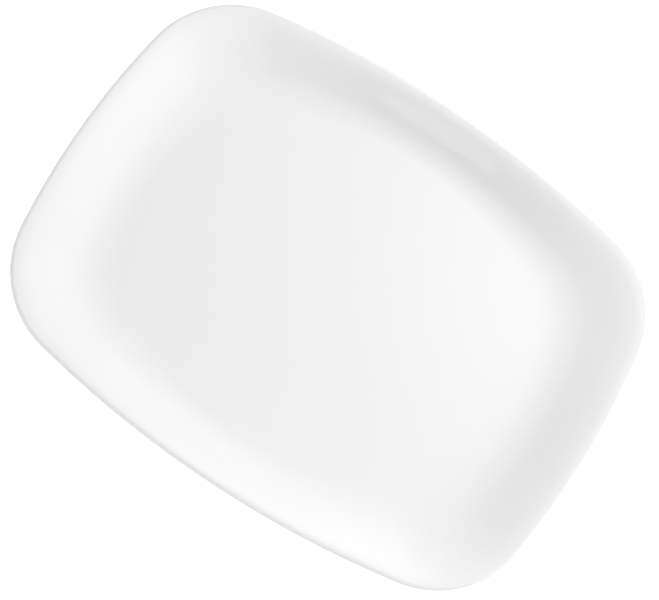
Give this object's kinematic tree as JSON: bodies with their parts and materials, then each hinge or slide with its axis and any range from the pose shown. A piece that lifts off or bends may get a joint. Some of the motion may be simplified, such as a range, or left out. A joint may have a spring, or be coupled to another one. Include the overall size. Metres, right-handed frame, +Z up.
{
  "type": "rectangular plate",
  "caption": "Shallow rectangular serving plate with bowed sides, rounded corners, a coved wall, a flared rounded lip and a low bare foot ring.",
  "frame": {"origin": "on the standing plane under the middle of the plate", "axes": "+Z up out of the well, +X along the plate's length, +Y across its width"},
  "size_m": [0.32, 0.24, 0.0285],
  "materials": {
    "biscuit": "bare fired porcelain, matt",
    "glaze": "white clear-glazed porcelain, glossy"
  },
  "bodies": {
    "root": {"clay_body": "biscuit", "face_glaze": "glaze", "base_glaze": "glaze"}
  },
  "joints": []
}
